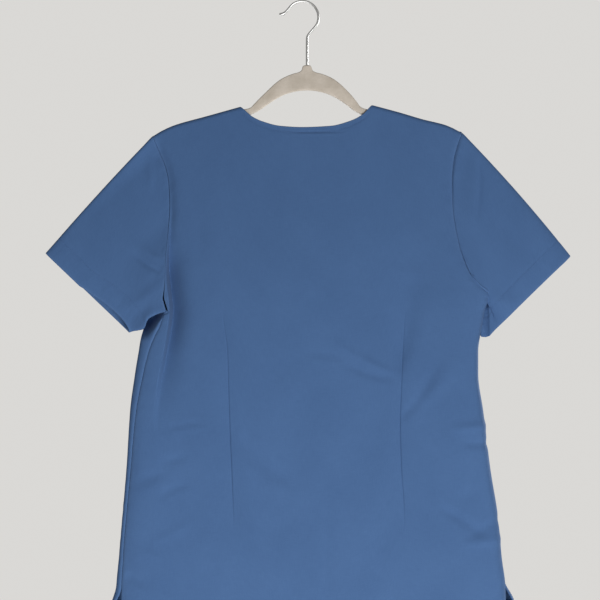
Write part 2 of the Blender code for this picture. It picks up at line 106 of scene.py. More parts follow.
# the form that both body panels lie on
body = {
    "centreX": 10.0,  # the body hangs a little to the right of the hook
    "ridgeHalf": 5.0,  # half depth where the cloth folds over the hanger
    "ridgeDrop": 5.5,
    "ridgeStart": 1.0,  # half the gap between the two shoulder edges
    "fullDepthDrop": 260.0,
    "roundRight": 58.0,
    "sideFlatness": 0.28,  # below 1 the sides stay flat until close to the outline
    "neckLeft": -80.0,
    "neckRight": 91.0,
    "neckLeftZ": -136.2,
    "neckRightZ": -134.0,
    "veeX": 5.0,
    "veeZ": -287.0,
    "ventTop": -752.0,
    "hem": backLow[2] / mm,
    "ventSwing": 9.5,  # how far the left vent's front edge stands open at the hem
}
roundLeft = table("z reach", (-345, 46), (-372, 38), (-386, 33), (-401, 31), (-405, 42), (-412, 46))
outline = table(
    "z left right",
    (-130, -240, 262), (-240, -233, 254), (-300, -224, 248), (-350, -205, 244), (-386, -187, 240),
    (-401, -185, 235), (-406, -198, 234), (-412, -203.5, 233), (-420, -205, 231.5),
    (-436, -207.5, 228.5), (-452, -210, 226.5), (-482, -215, 226.5), (-530, -221.5, 233),
    (-600, -226, 242), (-665, -231.5, 252.5), (-718, -236, 257.5), (-754, -239, 262),
    (-806, -240, 263),
)
depths = table(
    "z back front",
    (-130, 10, 10), (-240, 16, 15), (-300, 19, 18), (-350, 21.5, 19.7), (-405, 23.8, 21.2),
    (-482, 26, 22.7), (-600, 28, 24), (-806, 30, 27),
)
leftSeam = table(  # how far the left side seam lies inside the outline
    "z inset",
    (-401, 13), (-406, 21), (-412, 24.5), (-420, 23.5), (-431, 19.5), (-456, 13.5), (-485, 11.5),
    (-515, 9.8), (-555, 8), (-600, 6.8), (-690, 6.2), (-752, 8), (-806, 8.5),
)
leftArmhole = table(  # the back's line seen straight on, and how far in the front's is
    "z x frontIn",
    (-174.5, -193.5, 0), (-181, -190.8, 1), (-194, -185.4, 3), (-214, -177, 5), (-235, -172.5, 6),
    (-265, -171, 7), (-298, -172.5, 7), (-330, -174.7, 6), (-362, -175.8, 3), (-384, -177.1, 0),
)
rightArmhole = table(
    "z x frontIn",
    (-170.5, 208, 0), (-183, 202.8, 3), (-207, 196.3, 6), (-235, 193.7, 8), (-265, 194.2, 9),
    (-293, 197.5, 9), (-319, 202.8, 8), (-345, 211.5, 5), (-360, 220.1, 2), (-371, 230.9, 0),
)
leftShoulder = table("x z", (-193.5, -174.5), (-181, -167), (-165, -160), (-124, -148.5), (-80, -136.2))
rightShoulder = table("x z", (91, -134), (128, -144), (156, -152.3), (188, -160.5), (208, -170.5))
backNeck = table(
    "x z",
    (-80, -136.2), (-64.5, -150.0), (-51, -156.4), (-28, -162.2), (0, -163.8), (37, -162.2),
    (62, -155.8), (79, -147), (91, -134),
)
flare = table("z left right", (-740, 0, 0), (-752, 0, 1), (-778, 6, 13), (-806, 13, 20))
# by side, the left first
armholes = {-1: leftArmhole, 1: rightArmhole}
shoulderEnd = {-1: leftShoulder["z"][0], 1: rightShoulder["z"][-1]}
underarm = {-1: -401.0, 1: -386.0}


def ridgeZ(x):
    across = (x - body["neckLeft"]) / (body["neckRight"] - body["neckLeft"])
    z = mix(body["neckLeftZ"], body["neckRightZ"], across)
    z = np.where(x < body["neckLeft"], follow(leftShoulder, "z", x), z)
    return np.where(x > body["neckRight"], follow(rightShoulder, "z", x), z)


def halfDepth(x, z, full):
    drop = np.maximum(0, ridgeZ(x) - z)
    k = np.minimum(1, drop / body["ridgeDrop"])
    fold = body["ridgeStart"] + (body["ridgeHalf"] - body["ridgeStart"]) * np.sqrt(1 - (1 - k) ** 2)
    return fold + (full - body["ridgeHalf"]) * (1 - (1 - np.minimum(1, drop / body["fullDepthDrop"])) ** 2)


def cornerCurve(reach=52, depth=25):
    # how far round the side's corner a length of cloth gets, counted back from the outline
    turn = np.linspace(0, 1, 3001) ** 8
    across = reach * np.cos(turn * math.pi / 2)
    out = depth * np.sin(turn * math.pi / 2) ** body["sideFlatness"]
    run = np.concatenate([[0], np.cumsum(np.hypot(np.diff(across), np.diff(out)))])
    return turn, run / run[-1], run[-1] / (reach + depth)


cornerTurn, cornerRun, cornerLength = cornerCurve()


def quarter(reach, depth):
    return cornerLength * (reach + depth)


def sideFacts(panel, side, z):
    left = side < 0
    half = np.where(left, body["centreX"] - follow(outline, "left", z),
                    follow(outline, "right", z) - body["centreX"])
    if panel == "front":
        half = half + np.where(left, follow(flare, "left", z), follow(flare, "right", z))
    reach = np.where(left, follow(roundLeft, "reach", z), body["roundRight"])
    near = follow(depths, panel, z)
    far = follow(depths, "front" if panel == "back" else "back", z)
    return half, reach, near, far


def onForm(panel, girth, z):
    # the cloth's place at a girth from the centre line and a height
    side = np.where(girth < 0, -1.0, 1.0)
    half, reach, near, far = sideFacts(panel, side, z)
    flat = half - reach
    run = np.abs(girth)
    first = quarter(reach, near)
    before = 1 - (run - flat) / first
    beyond = (run - flat - first) / quarter(reach, far)
    turn = np.interp(np.where(before >= 0, before, beyond), cornerRun, cornerTurn) * math.pi / 2
    x = side * (np.minimum(run, flat) + reach * np.cos(turn)) + body["centreX"]
    rounded = np.where(before >= 0, 1, -1) * np.sin(turn) ** body["sideFlatness"]
    depth = halfDepth(x, z, np.where(before >= 0, near, far)) * rounded
    facing = -1 if panel == "back" else 1
    return np.stack([x, facing * depth, z], -1)


def seamGirth(panel, side, z):
    half, reach, near, far = sideFacts(panel, np.full_like(z, side), z)
    first = quarter(reach, near)
    if side > 0:
        return half - reach + first
    turn = np.arccos(1 - follow(leftSeam, "inset", z) / reach) / (math.pi / 2)
    left = np.interp(turn, cornerTurn, cornerRun)
    if panel == "back":
        return half - reach + first * (1 - left)
    opened = ease((body["ventTop"] - z) / (body["ventTop"] - body["hem"])) * body["ventSwing"]
    return half - reach + first + quarter(reach, far) * left - opened


def armholeGirth(panel, side, z):
    rows = armholes[side]
    across = side * (follow(rows, "x", z) - body["centreX"])
    if panel == "front":
        across = across - follow(rows, "frontIn", z)
    return girthTo(panel, side, across, z)


def girthTo(panel, side, across, z):
    # the girth along the cloth to a place so far across from the centre line
    half, reach, near, _ = sideFacts(panel, np.full_like(z, side), z)
    beyond = np.clip((across - half + reach) / reach, 0, 1)
    left = np.interp(np.arccos(beyond) / (math.pi / 2), cornerTurn, cornerRun)
    return np.where(beyond <= 0, across, half - reach + quarter(reach, near) * (1 - left))


def edgeGirth(panel, side, z):
    foot, last = underarm[side], armholes[side]["z"][-1]
    t = np.clip((last - z) / (last - foot), 0, 1)
    seam = seamGirth(panel, side, np.minimum(z, foot))
    below = mix(armholeGirth(panel, side, z * 0 + last), seam, t)
    return side * np.where(t <= 0, armholeGirth(panel, side, z), below)


# folds, darts and creases, as distances that the cloth stands out by
armpitFold = table(
    "z crest depth width rise",
    (-250, -177, 0, 14, 9), (-285, -178, 1.5, 15, 8), (-310, -178.5, 5, 16, 7),
    (-330, -178, 10.5, 17, 5.5), (-348, -176.4, 16, 15.5, 4.5), (-364, -174.4, 18.2, 15.5, 4),
    (-378, -172.6, 18.2, 15.5, 4), (-390, -171, 17.6, 15.5, 4), (-401, -170.2, 16.8, 15.5, 4),
    (-412, -171, 15.9, 15.5, 4), (-427, -173, 14.2, 15.5, 4.2), (-445, -176, 11.8, 15.5, 4.6),
    (-470, -180.6, 8.6, 18, 5.2), (-495, -185.5, 5.5, 18, 6), (-522, -189, 2.5, 17, 7),
    (-560, -192, 0, 16, 8),
)
tuckLine = table(  # left of this the front's cloth is set back under the sleeve
    "z x",
    (-385, -174), (-401, -173.5), (-417, -182.5), (-430, -189), (-446, -195),
)
dartLines = table(
    "z left right cut pucker",
    (-134, -80, 91, 0, 0), (-300, -96, 124, 0, 0), (-395, -102, 133, 0, 0),
    (-412, -100.5, 131.5, 0.2, 0.2), (-452, -95.5, 129, 0.4, 0.5), (-500, -94, 126.5, 0.55, 0.8),
    (-548, -92.5, 125, 0.7, 1.0), (-603, -90, 126.5, 0.7, 0.9), (-640, -88.5, 129, 0.5, 0.6),
    (-664, -87.5, 130, 0.2, 0.3), (-680, -87, 130, 0, 0), (-806, -85, 132, 0, 0),
)
backCreases = table(
    "x0 z0 x1 z1 bend height w0 w1",
    (-168, -551, -128, -545, 2, -0.8, 2.6, 1.8),
    (-166, -556, -126, -550, 2, 0.5, 3.0, 2.5),
    (-206, -617, -182, -609, 0, -1.4, 8, 6),
    (-174, -594, -152, -588, 1, -1.2, 6, 5),
    (-178, -636, -147, -622, 2, -1.2, 3.5, 3),
    (-182, -692, -146, -672, -2, 0.8, 6, 4),
    (-200, -708, -180, -716, 0, 0.7, 5, 4),
    (-226, -738, -202, -747, 1, -1.5, 7, 6),
    (-80, -556, -18, -618, -6, -1.9, 12, 9),
    (-56, -600, -24, -700, -6, -1.2, 13, 14),
    (-74, -640, -16, -762, -8, 1.3, 14, 18),
    (10, -455, 52, -462, 2, -0.5, 5, 4),
    (44, -440, 88, -466, -3, 0.9, 4, 3),
    (84, -466, 116, -478, -2, 1.2, 3.5, 2.2),
    (60, -470, 112, -487, -3, -1.1, 4.5, 3),
    (140, -352, 126, -470, 0, -2.6, 26, 6),
    (110, -395, 122, -470, 2, -0.8, 14, 5),
    (168, -480, 132, -532, 3, -1.8, 9, 5),
    (190, -470, 146, -520, 3, 1.3, 12, 8),
    (196, -494, 204, -510, 0, -0.6, 9, 8),
    (198, -551, 236, -548, 0, 1.6, 5, 5.5),
    (210, -570, 240, -571, 0, -1.6, 5, 5),
    (182, -655, 226, -683, 2, -1.8, 5.5, 6),
    (222, -684, 250, -670, 0, -1.7, 5, 5.5),
    (210, -697, 254, -693, 0, 1.4, 5, 5),
    (204, -640, 226, -628, 0, -0.6, 8, 8),
    (33, -640, 31, -778, 1, -0.4, 5, 7),
    (16, -470, -40, -520, 3, 0.5, 14, 18),
    (-26, -380, 24, -402, 2, -0.4, 16, 16),
    (-132, -285, -131, -335, 0, -0.6, 8, 8),
    (60, -560, 96, -640, 3, -0.6, 18, 18),
    (96, -600, 66, -720, 3, 0.7, 16, 20),
    (-9, -169.4, 51, -169.4, 0, -0.4, 1.2, 1.2),
    (-9, -172.4, 51, -172.4, 0, 0.2, 1.3, 1.3),
)
frontCreases = table(
    "x0 z0 x1 z1 bend height w0 w1",
    (-176, -352, -128, -470, 6, 2.2, 9, 14),
    (-163, -350, -112, -452, 6, -2.6, 6, 12),
    (222, -372, 158, -470, -6, 2.0, 10, 14),
    (206, -362, 148, -448, -5, -2.4, 6, 12),
    (-196, -468, -132, -452, 3, -1.6, 6, 9),
    (-204, -556, -150, -541, 2, 1.4, 7, 9),
    (-206, -581, -158, -571, -2, -1.6, 5, 7),
    (236, -548, 182, -530, -3, -1.6, 6, 8),
    (242, -618, 190, -640, 3, 1.4, 6, 9),
    (246, -652, 204, -664, 2, -1.7, 5, 7),
    (-60, -330, -96, -560, 8, 1.8, 18, 24),
    (66, -330, 104, -590, -8, 1.8, 18, 26),
    (-34, -360, -52, -640, 5, -1.4, 14, 22),
    (40, -352, 58, -600, -6, -1.4, 14, 22),
    (-30, -232, -92, -214, -3, -1.0, 5, 9),
    (44, -236, 108, -222, 3, -1.0, 5, 9),
    (6, -300, 4, -420, 2, 1.3, 7, 16),
    (150, -690, 176, -790, 3, 1.8, 14, 18),
    (-146, -680, -168, -790, 3, 1.8, 14, 18),
    (20, -640, -6, -790, 3, -1.2, 14, 18),
)
sleeveCreases = table(
    "x0 z0 x1 z1 bend height w0 w1",
    (-198, -196, -195, -240, 0, 1.5, 4.5, 4),
    (-214, -329, -186, -349, -2, -1.3, 3.5, 3),
    (-206, -318, -182, -334, -2, 0.9, 5, 4),
    (-188, -372, -224, -396, 2, 1.2, 8, 10),
    (230, -198, 226.5, -276, 1, -1.5, 3.0, 3.6),
    (221, -210, 219, -290, 1, 0.7, 6, 8),
    (236, -386, 282, -398, 3, 1.1, 8, 12),
    (250, -290, 300, -338, 2, -0.8, 14, 16),
)


def crease(rows, x, z):
    # soft troughs and ridges, each along a slightly bent line
    out = np.zeros_like(x)
    for x0, z0, x1, z1, bend, height, w0, w1 in zip(*rows.values()):
        length = math.hypot(x1 - x0, z1 - z0)
        ux, uz = (x1 - x0) / length, (z1 - z0) / length
        t = ((x - x0) * ux + (z - z0) * uz) / length
        inside = np.clip(t, 0, 1)
        width = mix(w0, w1, inside)
        away = (x - x0) * -uz + (z - z0) * ux - bend * 4 * inside * (1 - inside)
        past = np.maximum(0, np.maximum(-t, t - 1)) * length
        fade = ease(0.5 + 0.5 * np.minimum(inside, 1 - inside) / 0.22)
        out += height * fade * bell(away / width) * bell(past / (1.5 * width))
    return out


def swells(x, z, seed, count, shortest, longest, height):
    # uneven low waves, longer up and down than across
    rng = np.random.default_rng(seed)
    out = np.zeros_like(x)
    for _ in range(count):
        length = rng.uniform(shortest, longest)
        lean = rng.uniform(-0.5, 0.5)
        phase, stretch = rng.uniform(0, 2 * math.pi, 2)
        across = (x * math.cos(lean) + z * math.sin(lean) * 0.55) / length * 2 * math.pi + phase
        slow = 0.6 + 0.4 * np.sin(z / length * 0.9 + stretch)
        out += np.sin(across + 0.6 * np.sin(z / (length * 1.7) + stretch)) * slow
    return out * height / math.sqrt(count)


def ruck(run, seed, size):
    # the small even gathers that stitching leaves along a seam
    rng = np.random.default_rng(seed)
    out = np.zeros_like(run)
    for length in rng.uniform(9, 26, 7):
        out += np.sin(run / length * 2 * math.pi + rng.uniform(0, 6.28))
    return out * size / 2.6


def foldedIn(x, z):
    # how far the cloth dips towards the front beside the left armpit
    along = x - follow(armpitFold, "crest", z)
    rise = follow(armpitFold, "rise", z)
    beyond = np.maximum(0, along - rise) / follow(armpitFold, "width", z)
    return follow(armpitFold, "depth", z) * ease(along / rise) * np.exp(-(beyond**1.7))


reliefs = {
    "back": {"creases": backCreases, "height": 1.2, "darts": ("left", "right"), "from": 330, "even": 0.3,
             "seeds": (11, 12), "ripple": 0.12},
    "front": {"creases": frontCreases, "height": 1.4, "darts": (), "from": 300, "even": 0.35,
              "seeds": (21, 22), "ripple": 0.13},
}
dartLook = {"cut": 1.9, "cutWidth": 0.75, "puckerWidth": 9}


def bodyRelief(panel, x, z):
    look = reliefs[panel]
    out = np.zeros_like(x)
    for side in look["darts"]:
        away = x - follow(dartLines, side, z)
        out -= dartLook["cut"] * follow(dartLines, "cut", z) * bell(away / dartLook["cutWidth"])
        out -= follow(dartLines, "pucker", z) * bell(away / dartLook["puckerWidth"])
    out += look["height"] * crease(look["creases"], x, z)
    low = ease((-z - look["from"]) / 300)
    out += swells(x, z, look["seeds"][0], 9, 70, 170, 0.7) * (look["even"] + low)
    return out + swells(x, z, look["seeds"][1], 14, 22, 60, look["ripple"]) * (0.3 + low)


# how deep the seams and stitched lines lie, and how far the creases keep from them
seamLook = {
    "creaseClear": 14, "topClear": 22,
    "leftFoot": 0.4, "leftHead": 4.6, "right": 0.9, "side": 0.8,
    "hemLine": 0.3, "neckLine": 0.25, "gathers": 0.16, "hemGathers": 0.14,
}


def clothPoint(panel, girth, z):
    # a place on the body's cloth, with its folds, in millimetres
    place = onForm(panel, girth, z)
    nudge = 0.5
    across = onForm(panel, girth + nudge, z) - onForm(panel, girth - nudge, z)
    down = onForm(panel, girth, z - nudge) - onForm(panel, girth, z + nudge)
    normal = -unit(np.cross(across, down) if panel == "back" else np.cross(down, across))
    x, left = place[..., 0], girth < 0
    edge = np.where(left, np.abs(edgeGirth(panel, -1, z)), edgeGirth(panel, 1, z))
    inFrom = np.maximum(0, edge - np.abs(girth))
    armhole = ease((z - np.where(left, underarm[-1], underarm[1])) / 14)
    drop, hemRun = ridgeZ(x) - z, z - body["hem"]
    relief = bodyRelief(panel, x, z) * ease(inFrom / seamLook["creaseClear"])
    relief *= ease(drop / seamLook["topClear"])
    leftDip = mix(seamLook["leftFoot"], seamLook["leftHead"], ease((z + 335) / 60)) * bell(inFrom / 8)
    rightDip = seamLook["right"] * bell(inFrom / 3.5)
    sunk = np.where(left, leftDip, rightDip) * armhole * ease(drop / 30)
    sunk += seamLook["side"] * bell(inFrom / 2.2) * (1 - armhole)
    sunk += seamLook["hemLine"] * bell((hemRun - 20) / 1.6)
    sunk += seamLook["neckLine"] * bell((topZ(panel, x) - z - 6) / 1.3) * inNeck(x)
    seed = 31 if panel == "back" else 32
    gathers = ruck(z, seed, seamLook["gathers"]) * bell((inFrom - 5) / 5) * ease(inFrom / 3) * ease(drop / 30)
    gathers += ruck(x, seed + 2, seamLook["hemGathers"]) * bell((hemRun - 11) / 8) * ease(hemRun / 4)
    place = place + normal * (relief - sunk + gathers)[..., None]
    if panel == "back":
        place[..., 1] += foldedIn(x, z) * ease(inFrom / 3.5)
    else:
        tucked = ease((follow(tuckLine, "x", z) - x) / 17) * ease((z + 440) / 30)
        place[..., 1] += tucked * np.maximum(0, 11 - place[..., 1])
    return place


def inNeck(x):
    return ease((x - body["neckLeft"] - 2) / 8) * ease((body["neckRight"] - 2 - x) / 8)


def steps(length, startStep, endStep, widest, growth=1.3):
    # shares of a stretch, fine at its ends and even between
    start, end = [0.0], [length]
    a, b = startStep, endStep
    while start[-1] + a < end[-1] - b:
        if a <= b:
            start.append(start[-1] + a)
            a = min(a * growth, widest)
        else:
            end.append(end[-1] - b)
            b = min(b * growth, widest)
    return np.array(start + end[:0:-1]) / length


sewing = {
    "wall": 0.7,
    "foldRadius": 0.55,
    "seamGap": 0.36,
    "seamTurn": 8.0,
    "neckTurn": 9.0,
    "hemTurn": 22.0,
    "cuffTurn": 26.0,
    "widest": 3.4,
}
upperLevels = steps(235, 0.35, 0.9, sewing["widest"], 1.1)
lowerLevels = steps(405, 0.9, 0.6, 3.8, 1.06)


def topZ(panel, x):
    if panel == "back":
        neck = follow(backNeck, "z", x)
    else:
        left = x < body["veeX"]
        corner = np.where(left, body["neckLeft"], body["neckRight"])
        cornerZ = np.where(left, body["neckLeftZ"], body["neckRightZ"])
        neck = mix(body["veeZ"], cornerZ, (x - body["veeX"]) / (corner - body["veeX"]))
    return np.where((x <= body["neckLeft"]) | (x >= body["neckRight"]), ridgeZ(x), neck)


def guideLines(panel, zLeft, zRight, level):
    inset = sewing["foldRadius"] + sewing["seamGap"] * ease((underarm[1] - zRight) / 6)
    first = edgeGirth(panel, -1, np.array([zLeft]))[0] + inset
    last = edgeGirth(panel, 1, np.array([zRight]))[0] - inset
    middle = np.array([(zLeft + zRight) / 2])
    c = body["centreX"]
    if panel == "back":
        darts = [follow(dartLines, side, middle)[0] - c for side in ("left", "right")]
        z = np.array([zLeft])
        crest = -girthTo(panel, -1, c - follow(armpitFold, "crest", z), z)[0]
        past = crest - first - 1.5
        crest = first + 1.5 + (past + math.hypot(past, 2)) / 2  # never nearer than this to the edge
        return [first, crest, crest + 6, *darts, last]
    spread = 1 + 0.25 * level
    vee = mix(body["veeX"] - c, 0, level)
    return [first, (body["neckLeft"] - c) * spread, vee, (body["neckRight"] - c) * spread, last]


stretches = {
    "back": ((14, 0.4, 0.6, 1.3), (6, 0.6, 0.6, 0.6), (74, 0.6, 0.45, 3.9), (222, 0.45, 0.45, 3.9),
             (112, 0.45, 0.5, 3.9)),
    "front": ((150, 0.5, 1.2, 3.4), (86, 1.2, 0.7, 3.4), (86, 0.7, 1.2, 3.4), (128, 1.2, 0.5, 3.4)),
}


def panelGrid(panel):
    shares = [steps(*stretch) for stretch in stretches[panel]]
    places = np.concatenate([n + s[:-1] for n, s in enumerate(shares)] + [[len(shares)]])
    stretch = np.minimum(places.astype(int), len(shares) - 1)
    part = places - stretch
    share = places / len(shares)

    def row(zLeft, zRight, level):
        lines = np.array(guideLines(panel, zLeft, zRight, level))
        return mix(lines[stretch], lines[stretch + 1], part)

    topLine = topZ(panel, row(*shoulderEnd.values(), 0) + body["centreX"])
    foot = mix(*underarm.values(), share)
    hem = body["hem"] + sewing["foldRadius"]
    girths, heights = [], []
    for level in upperLevels:
        ends = [mix(shoulderEnd[side], underarm[side], level) for side in (-1, 1)]
        girths.append(row(*ends, level))
        heights.append(mix(topLine, foot, level))
    for level in lowerLevels[1:]:
        ends = [mix(z, hem, level) for z in underarm.values()]
        girths.append(row(*ends, 1))
        heights.append(mix(*ends, share))
    return clothPoint(panel, np.array(girths), np.array(heights))


def outwardNormals(points, facing, at, closed=False):
    # the normals of a grid, all of them turned so that one place faces along Y as asked
    if closed:
        across = np.roll(points, -1, 1) - np.roll(points, 1, 1)
    else:
        across = np.gradient(points, axis=1)
    normal = unit(np.cross(np.gradient(points, axis=0), across))
    return normal if normal[at][1] * facing > 0 else -normal


def runAlong(points, axis):
    lengths = np.linalg.norm(np.diff(points, axis=axis), axis=-1)
    pad = [(0, 0), (0, 0)]
    pad[axis] = (1, 0)
    return np.cumsum(np.pad(lengths, pad), axis=axis)


def turnedEdge(points, normals, turn, clear=0.0):
    # rows that start at the first one, roll over it and lie back along the inside
    radius = sewing["foldRadius"]
    out = unit(points[0] - points[1])
    rows = [points[0]]
    for angle in np.radians((36, 72, 108, 144)):
        rows.append(points[0] + out * radius * math.sin(angle) - normals[0] * radius * (1 - math.cos(angle)))
    run = runAlong(points, 0).mean(axis=1)
    last = max(2, int(np.argmax(run >= sewing[turn])))
    inside = points[: last + 1] - normals[: last + 1] * (2 * radius + clear)
    return np.concatenate([np.array(rows), inside])


def addPiece(name, data):
    piece = bpy.data.objects.new(name, data)
    scene.collection.objects.link(piece)
    return piece


def cleanMesh(mesh, nearest, outward=False):
    bm = bmesh.new()
    bm.from_mesh(mesh)
    bmesh.ops.remove_doubles(bm, verts=bm.verts, dist=nearest)
    if outward:
        bmesh.ops.recalc_face_normals(bm, faces=bm.faces)
    bm.to_mesh(mesh)
    bm.free()
    mesh.shade_smooth()


def plainMesh(piece):
    # the evaluated shape as the piece's own mesh, with no modifiers left
    bpy.context.view_layer.update()
    graph = bpy.context.evaluated_depsgraph_get()
    mesh = bpy.data.meshes.new_from_object(piece.evaluated_get(graph))
    name = piece.name
    bpy.data.objects.remove(piece)
    mesh.name = name
    return addPiece(name, mesh)


class Sheet:
    # points in a grid, with the cloth's own lengths across and down as its UV
    def __init__(self):
        self.points, self.faces, self.uvs, self.rub = [], [], [], []

    def add(self, points, u, v, rub=0.6, closed=False, flip=False):
        rows, columns = points.shape[:2]
        start = len(self.points)
        self.points.extend(points.reshape(-1, 3) * mm)
        self.rub.extend(np.broadcast_to(rub, points.shape[:2]).reshape(-1))
        order = (3, 2, 1, 0) if flip else (0, 1, 2, 3)
        for i in range(rows - 1):
            for j in range(columns if closed else columns - 1):
                k = (j + 1) % columns
                corners = (i * columns + j, (i + 1) * columns + j, (i + 1) * columns + k, i * columns + k)
                wrap = u[i, -1] + (u[i, 1] - u[i, 0]) if k == 0 else 0
                us = (u[i, j], u[i + 1, j], u[i + 1, k] if k else wrap, u[i, k] if k else wrap)
                vs = (v[i, j], v[i + 1, j], v[i + 1, k], v[i, k])
                self.faces.append([start + corners[n] for n in order])
                self.uvs.extend((us[n] * mm, vs[n] * mm) for n in order)

    def build(self, name):
        mesh = bpy.data.meshes.new(name)
        mesh.from_pydata([tuple(p) for p in self.points], [], self.faces)
        layer = mesh.uv_layers.new(name="clothUV")
        layer.data.foreach_set("uv", np.array(self.uvs, np.float32).reshape(-1))
        rub = mesh.attributes.new("edgeRub", "FLOAT", "POINT")
        rub.data.foreach_set("value", np.array(self.rub, np.float32))
        shell = addPiece(name, mesh)
        cleanMesh(mesh, 0.000005)
        wall = shell.modifiers.new("wall", "SOLIDIFY")
        wall.thickness = sewing["wall"] * mm
        wall.offset = 0
        return plainMesh(shell)


def edgeRubOf(run, total, reach=2.2):
    return np.maximum(bell(run / reach), bell((total - run) / reach))


def sewPanel(panel, name):
    points = panelGrid(panel)
    middle = points.shape[1] // 2
    normals = outwardNormals(points, -1 if panel == "back" else 1, (60, middle))
    across, down = runAlong(points, 1), runAlong(points, 0)
    u, v = across - across[:, [middle]], -down
    sheet, flip = Sheet(), panel == "front"
    rub = np.maximum(edgeRubOf(across, across[:, -1:]), edgeRubOf(down, down[-1:]))
    sheet.add(points, u, v, rub, flip=flip)
    # the shoulders and neck, then the hem
    for order, turn, clear in ((1, "neckTurn", 0.0), (-1, "hemTurn", 0.8)):
        edge = turnedEdge(points[::order], normals[::order], turn, clear)
        us = np.repeat(u[::order][:1], len(edge), 0)
        sheet.add(edge, us, v[::order][:1] + order * runAlong(edge, 0), flip=flip == (order < 0))
    # the armhole, side seam and vent on each side
    for side in (-1, 1):
        rows, norms = (grid[:, ::-side].transpose(1, 0, 2) for grid in (points, normals))
        edge = turnedEdge(rows, norms, "seamTurn").transpose(1, 0, 2)
        vs = np.repeat(v[:, :1], edge.shape[1], 1)
        sheet.add(edge, runAlong(edge, 1), vs, flip=flip == (side > 0))
    cut = (across.max() + 2 * sewing["seamTurn"],
           down.max() + sewing["neckTurn"] + sewing["hemTurn"])
    return sheet.build(name), points, normals, cut


print("body panels")
sewn = {"back_panel": sewPanel("back", "back_shell"), "front_panel": sewPanel("front", "front_shell")}

cuffs = {
    -1: {"top": (-331.5, -326.3), "bottom": (-224, -428.5), "depth": 11, "backBow": 7.5, "bowFrom": 0.46},
    1: {"top": (347, -330), "bottom": (242, -433), "depth": 12, "backBow": 0.8, "bowFrom": 0.2},
}
cuffLeads = table(
    "level left right",
    (0, 0, 0), (0.13, 0.22, 0.24), (0.32, 0.42, 0.42), (0.54, 0.59, 0.57), (0.75, 0.76, 0.67),
    (0.84, 0.83, 0.72), (0.90, 0.88, 0.755), (0.945, 0.93, 0.78), (0.975, 0.965, 0.83), (1, 1, 1),
)


def cuffPoint(cuff, half, share):
    top, bottom = (np.array([cuff[end][0], 0, cuff[end][1]]) for end in ("top", "bottom"))
    middle, reach = (top + bottom) / 2, (bottom - top) / 2
    angle = math.pi * share
    across = -np.sign(np.cos(angle)) * np.abs(np.cos(angle)) ** 0.9
    place = middle + reach * across[..., None]
    depth = cuff["depth"] * (1 - np.abs(2 * share - 1) ** 4.5) ** 0.3
    place[..., 1] = depth if half == "front" else -depth
    inward = unit(np.array([reach[2], 0, -reach[0]])) * (1 if reach[0] < 0 else -1)
    if half == "front":
        place = place - inward * (1.6 * ease((share - 0.05) / 0.2) * ease((1 - share) / 0.06))[..., None]
    else:
        along = np.maximum(0, share - cuff["bowFrom"]) / (1 - cuff["bowFrom"])
        place = place + inward * (cuff["backBow"] * np.sin(math.pi * along**0.85))[..., None]
    return place


leftUnderFold = table(  # how the left sleeve's lower fold strays from a straight line
    "t z y",
    (0, 0, 0), (0.18, 2.4, -2), (0.34, 3.2, -4), (0.44, 3.0, -4.5), (0.50, 0.8, -4.5),
    (0.55, -5.2, -4), (0.60, -6.4, -3.5), (0.74, -4.4, -2.5), (0.88, -1.8, -1), (1, 0, 0),
)


# how the right sleeve's lower corner is tucked in and pressed flat
rightCorner = {"tuckIn": 17.5, "tuckDown": 3.2, "hollow": -7.0, "frontRise": 3.2, "lip": 1.2}


def sleeveGrid(side):
    cuff = cuffs[side]
    which = "left" if side < 0 else "right"
    levels = steps(240, 0.5, 0.8, 3.0)
    halves = []
    for half, lv in (("back", levels), ("front", levels[-2:0:-1])):
        z = mix(shoulderEnd[side], underarm[side], lv)
        start = clothPoint(half, edgeGirth(half, side, z), z)
        start[..., 1] *= ease(lv / 0.004) if half == "back" else 1
        if half == "back" and side < 0:
            start[..., 1] += 1.3 * ease(lv / 0.06) * ease((0.9 - lv) / 0.2)
        end = cuffPoint(cuff, half, follow(cuffLeads, which, lv))
        halves.append((start, end, lv, np.full(len(lv), -1.0 if half == "back" else 1.0)))
    start, end, level, sign = (np.concatenate(column) for column in zip(*halves))
    clear = 0.8 + (2.0 if side < 0 else 0.8) * ease((level - 0.82) / 0.14)
    drop = 0.1 + 0 * level if side > 0 else -0.5 * level
    shift = np.stack([np.full_like(level, side), 0 * level, drop], -1)
    start = start + shift * clear[:, None]
    ts = steps(180, 0.5, 0.5, 3.0)[:, None, None]
    points = mix(start[None], end[None], ts)
    t = ts[..., 0]
    bow = 4 * t * (1 - t)
    full = 2.0 - 0.6 * t if side < 0 else 3.0
    points[..., 0] += side * 0.75 * full * bow * ease(1 - level / 0.2)
    points[..., 2] += 0.66 * full * bow * ease(1 - level / 0.2)
    points[..., 1] += sign * 3.5 * bow * np.sin(math.pi * level) ** 0.7
    if side < 0:
        near = bell((1 - level) / np.where(sign < 0, 0.07, 0.06))
        points[..., 2] += follow(leftUnderFold, "z", t) * near
        points[..., 1] += follow(leftUnderFold, "y", t) * near
    else:
        past = (1 - level) * sign  # below nothing on the back layer, above it on the front
        lower = ease(t / 0.3)
        front = ease(past / 0.02) * bell(np.maximum(0, past - 0.035) / 0.05) * lower
        points[..., 0] -= rightCorner["tuckIn"] * front
        points[..., 2] -= rightCorner["tuckDown"] * front
        reach = 0.04 + 0.28 * ease((t - 0.1) / 0.5)
        hollow = ease(1 + past / reach) * (past <= 0) + ease((0.075 - past) / 0.03) * (past > 0)
        floorY = rightCorner["hollow"] + rightCorner["frontRise"] * ease((past + 0.008) / 0.02)
        points[..., 1] = mix(points[..., 1], floorY, hollow * lower)
        points[..., 1] -= rightCorner["lip"] * bell((past + 0.014) / 0.009) * lower
    return points, level, sign, t


